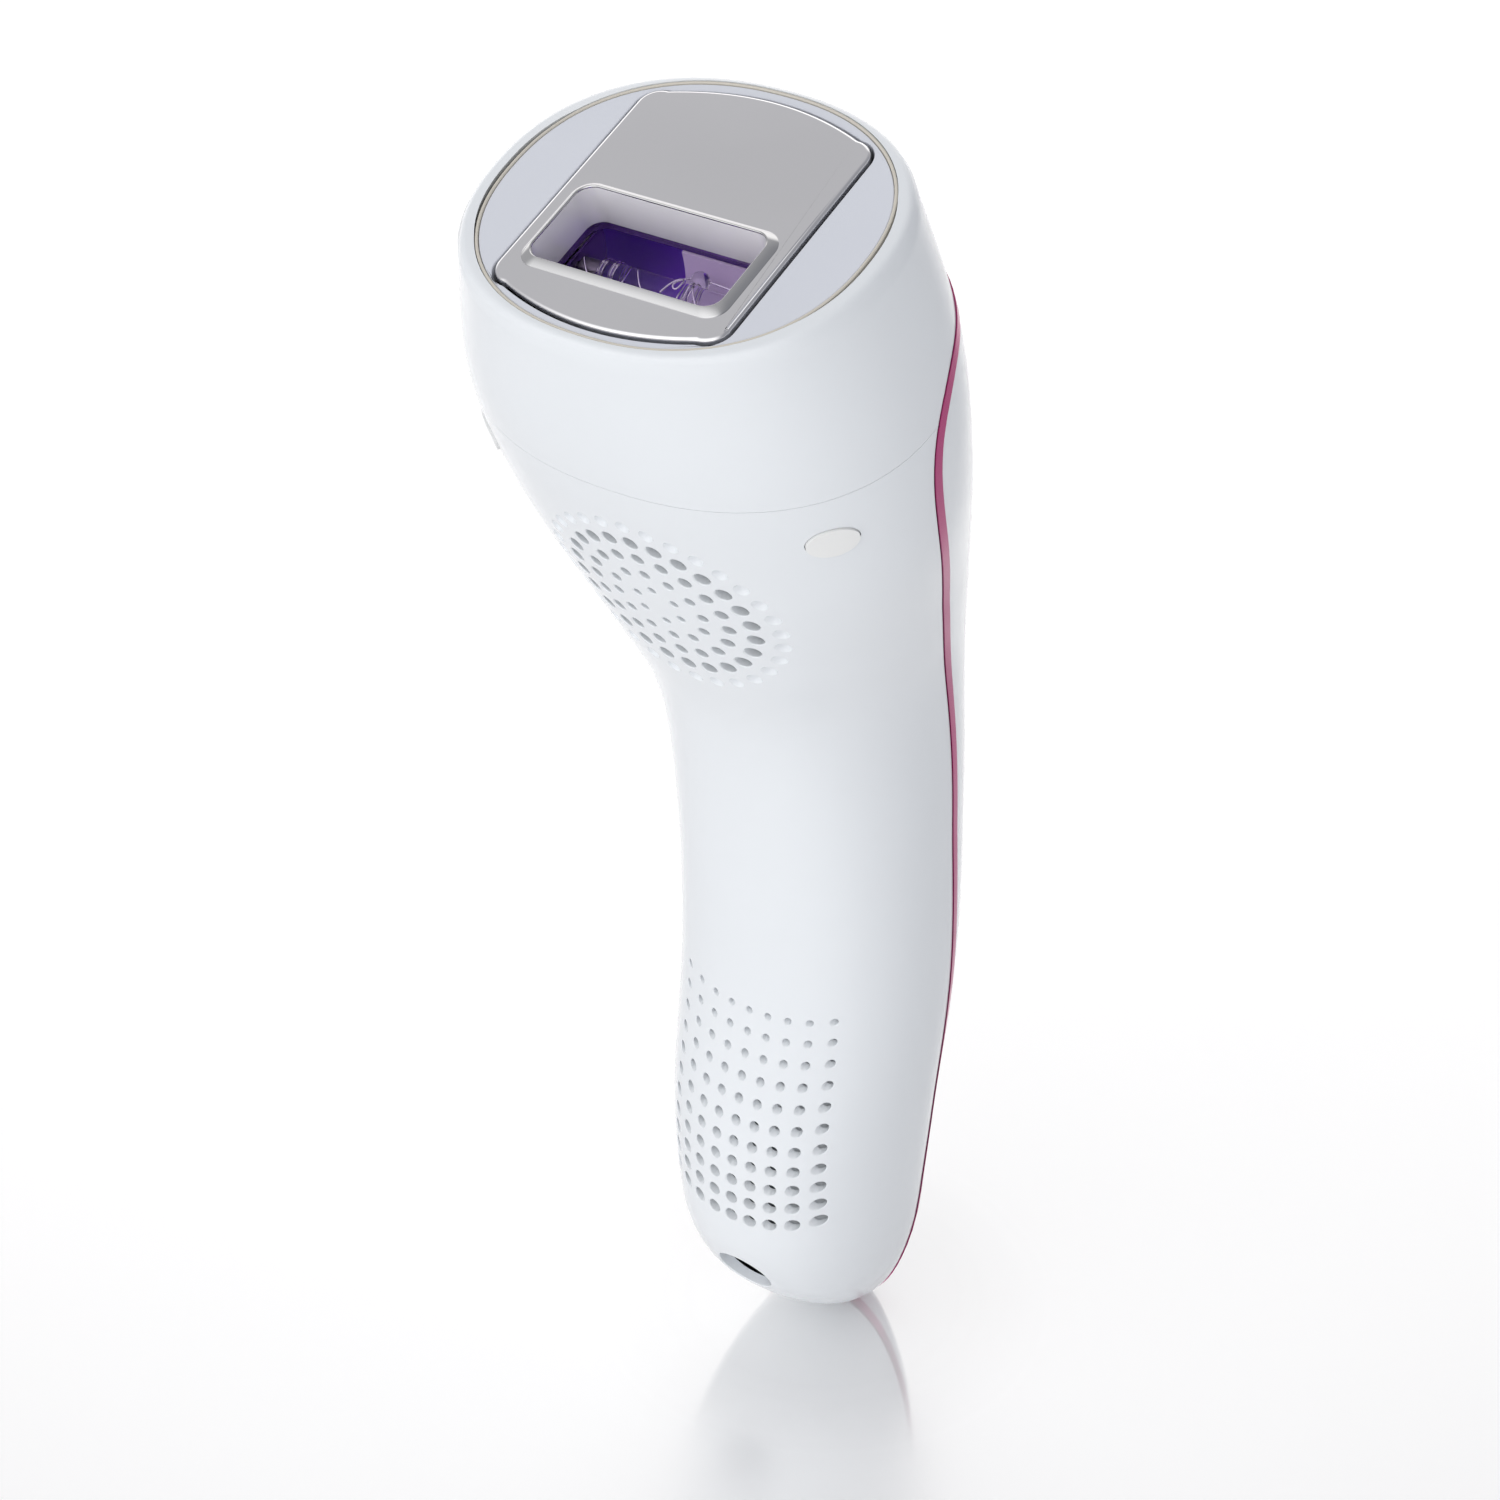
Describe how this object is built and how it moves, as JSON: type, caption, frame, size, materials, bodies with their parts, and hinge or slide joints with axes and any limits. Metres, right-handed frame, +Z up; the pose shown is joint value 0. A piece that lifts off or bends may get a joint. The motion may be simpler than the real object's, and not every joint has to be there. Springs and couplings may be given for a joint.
{
  "type": "ipl hair remover",
  "caption": "Handheld pulsed-light hair remover with a curved vented handle and a lift-off lamp cartridge behind a metal treatment face with a recessed window.",
  "frame": {"origin": "bottom centre of the bounding box, directly under the handle", "axes": "+Z up along the handle, -Y the front with the intake grille, +X the device's side shown with the trim line; mirrored about X = 0"},
  "size_m": [0.0716, 0.0809, 0.2246],
  "materials": {
    "white_gloss": "gloss white",
    "panel_grey": "satin blue-grey white",
    "ivory": "satin ivory",
    "magenta_metal": "metallic magenta",
    "polished_steel": "mirror polish",
    "brass": "bare",
    "violet_filter": "polished violet glass",
    "quartz": "clear quartz",
    "ceramic": "matte ceramic",
    "black_plastic": "matte black",
    "board_green": "solder mask",
    "smoke_lens": "tinted translucent"
  },
  "bodies": {
    "handle": {"front_housing": "white_gloss", "rear_cover": "white_gloss", "trim_ring": "magenta_metal", "indicator_lens": "smoke_lens", "flash_switch": "black_plastic", "level_switch": "black_plastic", "release_spring_left": "polished_steel", "release_spring_right": "polished_steel", "socket_plate": "black_plastic", "contact_block": "black_plastic", "socket_screw_left": "polished_steel", "socket_screw_right": "polished_steel", "fan_frame": "black_plastic", "fan_screw_upper": "polished_steel", "fan_screw_lower": "polished_steel", "main_board": "board_green", "board_screw_lower": "polished_steel", "board_screw_upper": "polished_steel", "capacitor": "black_plastic", "trigger_transformer": "black_plastic", "inductor": "brass", "dc_jack": "black_plastic", "dc_pin": "polished_steel"},
    "cartridge": {"head_shell": "white_gloss", "rim_ring": "ivory", "face_panel": "panel_grey", "contact_plate": "polished_steel", "head_chassis": "black_plastic", "window_bezel": "polished_steel", "window_liner": "white_gloss", "filter_glass": "violet_filter", "reflector": "polished_steel", "flash_tube": "quartz", "electrode_left": "polished_steel", "electrode_right": "polished_steel", "lamp_holder_left": "ceramic", "lamp_holder_right": "ceramic", "cartridge_tub": "white_gloss", "contact_blade_left": "brass", "contact_blade_right": "brass"},
    "flash_button": {"flash_button": "white_gloss"},
    "level_button": {"level_button": "white_gloss"},
    "release_left": {"release_button_left": "ivory"},
    "release_right": {"release_button_right": "ivory"},
    "fan_rotor": {"fan_rotor": "black_plastic"}
  },
  "joints": [
    {"name": "cartridge_lift", "type": "slide", "parent": "handle", "child": "cartridge", "axis": [0, -0.3502, 0.9367], "range_m": [0, 0.05]},
    {"name": "flash_press", "type": "slide", "parent": "handle", "child": "flash_button", "axis": [0, -1, 0], "range_m": [0, 0.0009], "stiffness_N_per_m": 900},
    {"name": "level_press", "type": "slide", "parent": "handle", "child": "level_button", "axis": [0, -1, 0], "range_m": [0, 0.0009], "stiffness_N_per_m": 900},
    {"name": "release_press_left", "type": "slide", "parent": "handle", "child": "release_left", "axis": [0.6691, 0.6961, 0.2603], "range_m": [0, 0.0013], "stiffness_N_per_m": 900, "deforming": ["release_spring_left"]},
    {"name": "release_press_right", "type": "slide", "parent": "handle", "child": "release_right", "axis": [-0.6691, 0.6961, 0.2603], "range_m": [0, 0.0013], "stiffness_N_per_m": 900, "deforming": ["release_spring_right"]},
    {"name": "fan_spin", "type": "hinge", "parent": "handle", "child": "fan_rotor", "pos_m": [0, -0.01027, 0.16557], "axis": [0, 0.9367, 0.3502], "continuous": true}
  ]
}
